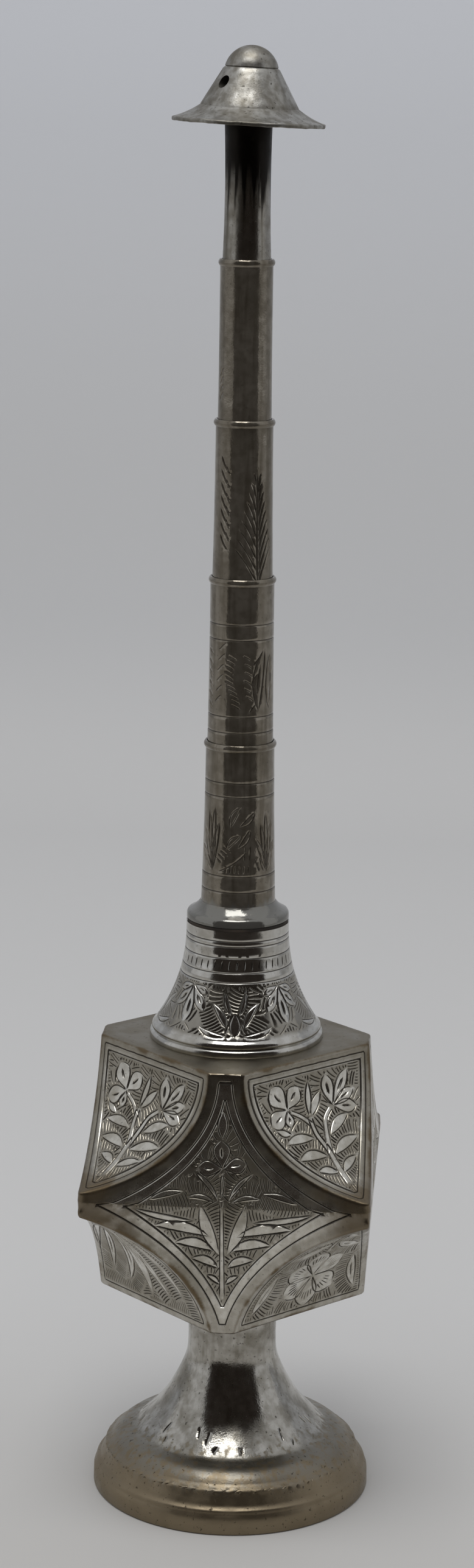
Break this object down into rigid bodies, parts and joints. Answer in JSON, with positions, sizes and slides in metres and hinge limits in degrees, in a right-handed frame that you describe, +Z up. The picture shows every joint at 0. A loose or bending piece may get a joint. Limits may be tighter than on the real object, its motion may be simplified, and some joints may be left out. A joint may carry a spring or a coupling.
{
  "type": "rosewater sprinkler",
  "caption": "Plated brass rosewater sprinkler: faceted vessel on a trumpet foot, engraved bell, long stepped neck that unscrews, and a perforated hat-shaped cap.",
  "frame": {"origin": "middle of the foot's rest face, on the axis of the neck", "axes": "+Z up along the neck, -Y towards the front facet, +X to its right"},
  "size_m": [0.0554, 0.0554, 0.2799],
  "materials": {
    "vessel_plate": "satin silvery plate over brass, engraved, dark in the cuts and brassy on worn edges",
    "bright_plate": "bright silvery plate over brass, engraved, dark in the cuts",
    "foot_plate": "bright plate on the stem, brownish and pitted towards the rim",
    "neck_plate": "dull grey-brown worn plate over brass",
    "cap_plate": "satin grey plate with small pits",
    "bare_brass": "plain turned brass, unplated",
    "washer_leather": "dark pressed leather"
  },
  "bodies": {
    "vessel": {"foot": "foot_plate", "foot_rivet": "bare_brass", "vessel_lower_half": "vessel_plate", "vessel_upper_half": "vessel_plate", "bell_neck": "bright_plate", "threaded_socket": "bare_brass"},
    "seal": {"seal_washer": "washer_leather"},
    "neck": {"threaded_spigot": "bare_brass", "neck_collar": "neck_plate", "tube_section_1": "neck_plate", "tube_section_2": "neck_plate", "tube_section_3": "neck_plate", "tube_section_4": "neck_plate", "tube_section_5": "neck_plate", "bead_ring_1": "neck_plate", "bead_ring_2": "neck_plate", "bead_ring_3": "neck_plate", "bead_ring_4": "neck_plate"},
    "cap": {"sprinkler_cap": "cap_plate", "cap_spigot": "bare_brass"}
  },
  "joints": [
    {"name": "neck_rise", "type": "slide", "parent": "vessel", "child": "seal", "axis": [0, 0, 1], "range_m": [0, 0.008]},
    {"name": "neck_turn", "type": "hinge", "parent": "seal", "child": "neck", "pos_m": [0, 0, 0.1159], "axis": [0, 0, 1], "range_deg": [0, 1441]},
    {"name": "cap_pull", "type": "slide", "parent": "neck", "child": "cap", "axis": [0, 0, 1], "range_m": [0, 0.007]}
  ],
  "couplings": [
    {"joint": "neck_turn", "follows": "neck_rise", "rad_per_m": 3141.6}
  ]
}
